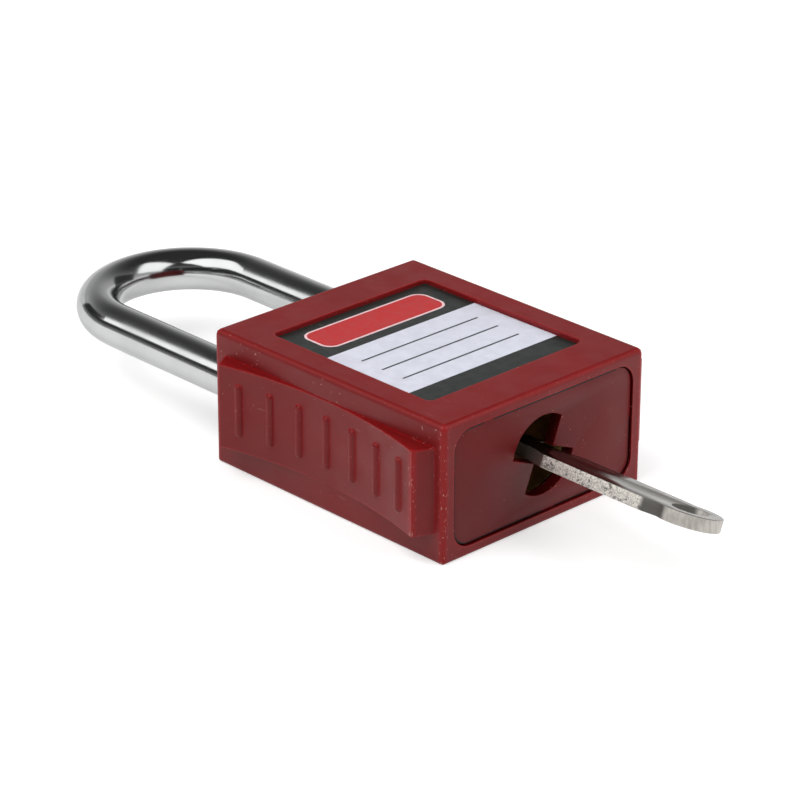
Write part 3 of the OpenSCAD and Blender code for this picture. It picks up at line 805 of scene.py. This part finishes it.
def soft_box(name, place, aim, size, power):
    """A soft rectangular light that looks at a point and shows in no reflection."""
    lamp = bpy.data.lights.new(name, "AREA")
    lamp.shape = "RECTANGLE"
    lamp.size, lamp.size_y = size
    lamp.energy = power
    obj = bpy.data.objects.new(name, lamp)
    obj.location = place
    obj.rotation_euler = (Vector(aim) - Vector(place)).to_track_quat("-Z", "Y").to_euler()
    obj.visible_glossy = False
    bpy.context.scene.collection.objects.link(obj)


def set_world():
    """An even white surround, softer as a light than as a background."""
    world = bpy.data.worlds.new("studio")
    bpy.context.scene.world = world
    world.use_nodes = True
    tree = world.node_tree
    tree.nodes.clear()
    out = tree.nodes.new("ShaderNodeOutputWorld")
    light = node(tree, "ShaderNodeBackground", Color=WHITE, Strength=0.26).outputs["Background"]
    white = node(tree, "ShaderNodeBackground", Color=WHITE, Strength=1.0).outputs["Background"]
    tree.links.new(lit_or_seen(tree, light, white), out.inputs["Surface"])


def reflected_only(bm, name, cloth):
    """A panel of the studio that lights nothing and shows only in reflections."""
    mat, tree, surface = blank_material(name)
    tree.links.new(cloth(tree), surface)
    panel = piece_from(bm, name, [mat])
    panel.visible_camera = False
    panel.visible_diffuse = False
    panel.visible_shadow = False
    panel.visible_transmission = False


def canopy():
    """The dark tent top overhead, greyer towards its rim."""
    bm = bmesh.new()
    bmesh.ops.create_circle(bm, cap_ends=True, segments=48, radius=3.4)
    bmesh.ops.translate(bm, vec=(0.0, 0.0, CANOPY_HEIGHT), verts=bm.verts)

    def cloth(tree):
        flat = vector_node(tree, "MULTIPLY", object_place(tree), (1.0, 1.0, 0.0))
        return emit(tree, ramp(tree, vector_node(tree, "LENGTH", flat), 0.45, 2.1, 0.040, 0.60))

    reflected_only(bm, "canopy", cloth)


def flag(name, bearing, width, foot_glow, glow):
    """An upright panel round the set, dark above and lighter towards its foot."""
    reach, fade = 1.09, 0.27
    bearing, quarter = math.radians(bearing), math.radians(90)
    bm = bmesh.new()
    bmesh.ops.create_grid(bm, x_segments=1, y_segments=1, size=0.5)
    bmesh.ops.scale(bm, vec=(width, CANOPY_HEIGHT, 1.0), verts=bm.verts)
    turn = Matrix.Rotation(bearing + quarter, 4, "Z") @ Matrix.Rotation(quarter, 4, "X")
    place = Vector((math.cos(bearing) * reach, math.sin(bearing) * reach, CANOPY_HEIGHT / 2))
    bmesh.ops.transform(bm, matrix=Matrix.Translation(place) @ turn, verts=bm.verts)

    def cloth(tree):
        level = node(tree, "ShaderNodeSeparateXYZ", Vector=object_place(tree)).outputs["Z"]
        return emit(tree, ramp(tree, level, 0.0, fade, foot_glow, glow))

    reflected_only(bm, name, cloth)


def soft_panel(name, bearing, height, roll, lean, width, tall, fade, glow):
    """A bright slanted panel with soft edges that faces the set."""
    reach, dark = 0.55, 0.03
    bearing, height, roll, lean = map(math.radians, (bearing, height, roll, lean))
    facing = Vector((math.cos(height) * math.cos(bearing), math.cos(height) * math.sin(bearing),
                     math.sin(height)))
    level = Vector((-math.sin(bearing), math.cos(bearing), 0.0))
    rise = facing.cross(level)
    across = level * math.cos(roll) + rise * math.sin(roll)
    up = rise * math.cos(lean) + level * math.sin(lean)
    bm = bmesh.new()
    bmesh.ops.create_grid(bm, x_segments=1, y_segments=1, size=0.5)
    turn = Matrix((across * width, up * tall, facing)).transposed().to_4x4()
    bmesh.ops.transform(bm, matrix=Matrix.Translation(facing * reach) @ turn, verts=bm.verts)

    def cloth(tree):
        strength = glow
        for square_to, size in ((up, width), (across, tall)):
            half = size / 2 * math.cos(roll + lean)
            off = vector_node(tree, "DOT_PRODUCT", object_place(tree), square_to.cross(facing))
            inside = ramp(tree, math_node(tree, "ABSOLUTE", off), half, half - fade)
            strength = times(tree, inside, strength)
        return emit(tree, larger(tree, strength, dark))

    reflected_only(bm, name, cloth)


def add_camera(stage):
    """The photograph's view, from its angles, distance and lens."""
    turn, rise = stage.azimuth, stage.elevation
    back = Vector((math.sin(turn) * math.cos(rise), -math.cos(turn) * math.cos(rise),
                   math.sin(rise)))
    right = (-back).cross(Vector((0, 0, 1))).normalized()
    up = right.cross(-back)
    cos_roll, sin_roll = math.cos(stage.roll), math.sin(stage.roll)
    right, up = cos_roll * right + sin_roll * up, cos_roll * up - sin_roll * right
    data = bpy.data.cameras.new("camera")
    data.sensor_width = 36.0
    data.lens = stage.lens
    data.clip_start, data.clip_end = 0.01, 20.0
    camera = bpy.data.objects.new("camera", data)
    axes = Matrix((right, up, back)).transposed().to_4x4()
    camera.matrix_world = Matrix.Translation(Vector(stage.target) + back * stage.distance) @ axes
    bpy.context.scene.collection.objects.link(camera)
    bpy.context.scene.camera = camera


class PADLOCK_OT_stage(bpy.types.Operator):
    """Set the floor, lights, surround and camera"""
    bl_idname = "padlock.set_stage"
    bl_label = "Stage"

    def execute(self, context):
        context.scene.view_settings.view_transform = "Standard"
        bm = bmesh.new()
        bmesh.ops.create_circle(bm, cap_ends=True, segments=64, radius=4.0)
        bmesh.ops.translate(bm, vec=(0.0, 0.0, -0.02 * MM), verts=bm.verts)
        floor = piece_from(bm, "floor", [floor_material()])
        set_world()
        canopy()
        for settings in FLAGS:
            flag(*settings)
        for settings in SOFT_PANELS:
            soft_panel(*settings)
        for settings in LAMPS:
            soft_box(*settings)
        add_camera(context.scene.padlock_stage)
        return {"FINISHED"}


class PADLOCK_PT_panel(bpy.types.Panel):
    """Lists the padlock's pieces and settings"""
    bl_idname = "PADLOCK_PT_panel"
    bl_label = "Padlock"
    bl_space_type = "VIEW_3D"
    bl_region_type = "UI"
    bl_category = "Padlock"

    def draw(self, context):
        for operator in OPERATORS:
            self.layout.operator(operator.bl_idname)
        for group in GROUPS:
            settings = getattr(context.scene, group)
            box = self.layout.box()
            for name in settings.bl_rna.properties.keys():
                if name not in ("rna_type", "name"):
                    box.prop(settings, name)


OPERATORS = [PADLOCK_OT_body, PADLOCK_OT_cover, PADLOCK_OT_label, PADLOCK_OT_shackle,
             PADLOCK_OT_key, PADLOCK_OT_lockwork, PADLOCK_OT_stage]
GROUPS = {"padlock_plastic": PadlockPlastic, "padlock_label": PadlockLabel,
          "padlock_metal": PadlockMetal, "padlock_stage": PadlockStage}
CLASSES = [*GROUPS.values(), *OPERATORS, PADLOCK_PT_panel]


def register():
    """Registers every class and hangs the settings on the scene."""
    for cls in CLASSES:
        bpy.utils.register_class(cls)
    for name, group in GROUPS.items():
        setattr(bpy.types.Scene, name, PointerProperty(type=group))


def unregister():
    """Takes the settings and classes away again."""
    for name in GROUPS:
        delattr(bpy.types.Scene, name)
    for cls in reversed(CLASSES):
        bpy.utils.unregister_class(cls)


def main():
    register()
    bpy.ops.padlock.make_body()
    bpy.ops.padlock.make_cover()
    bpy.ops.padlock.make_label()
    bpy.ops.padlock.finish_shackle()
    bpy.ops.padlock.make_key()
    bpy.ops.padlock.finish_lockwork()
    bpy.ops.padlock.set_stage()


if __name__ == "__main__":
    main()
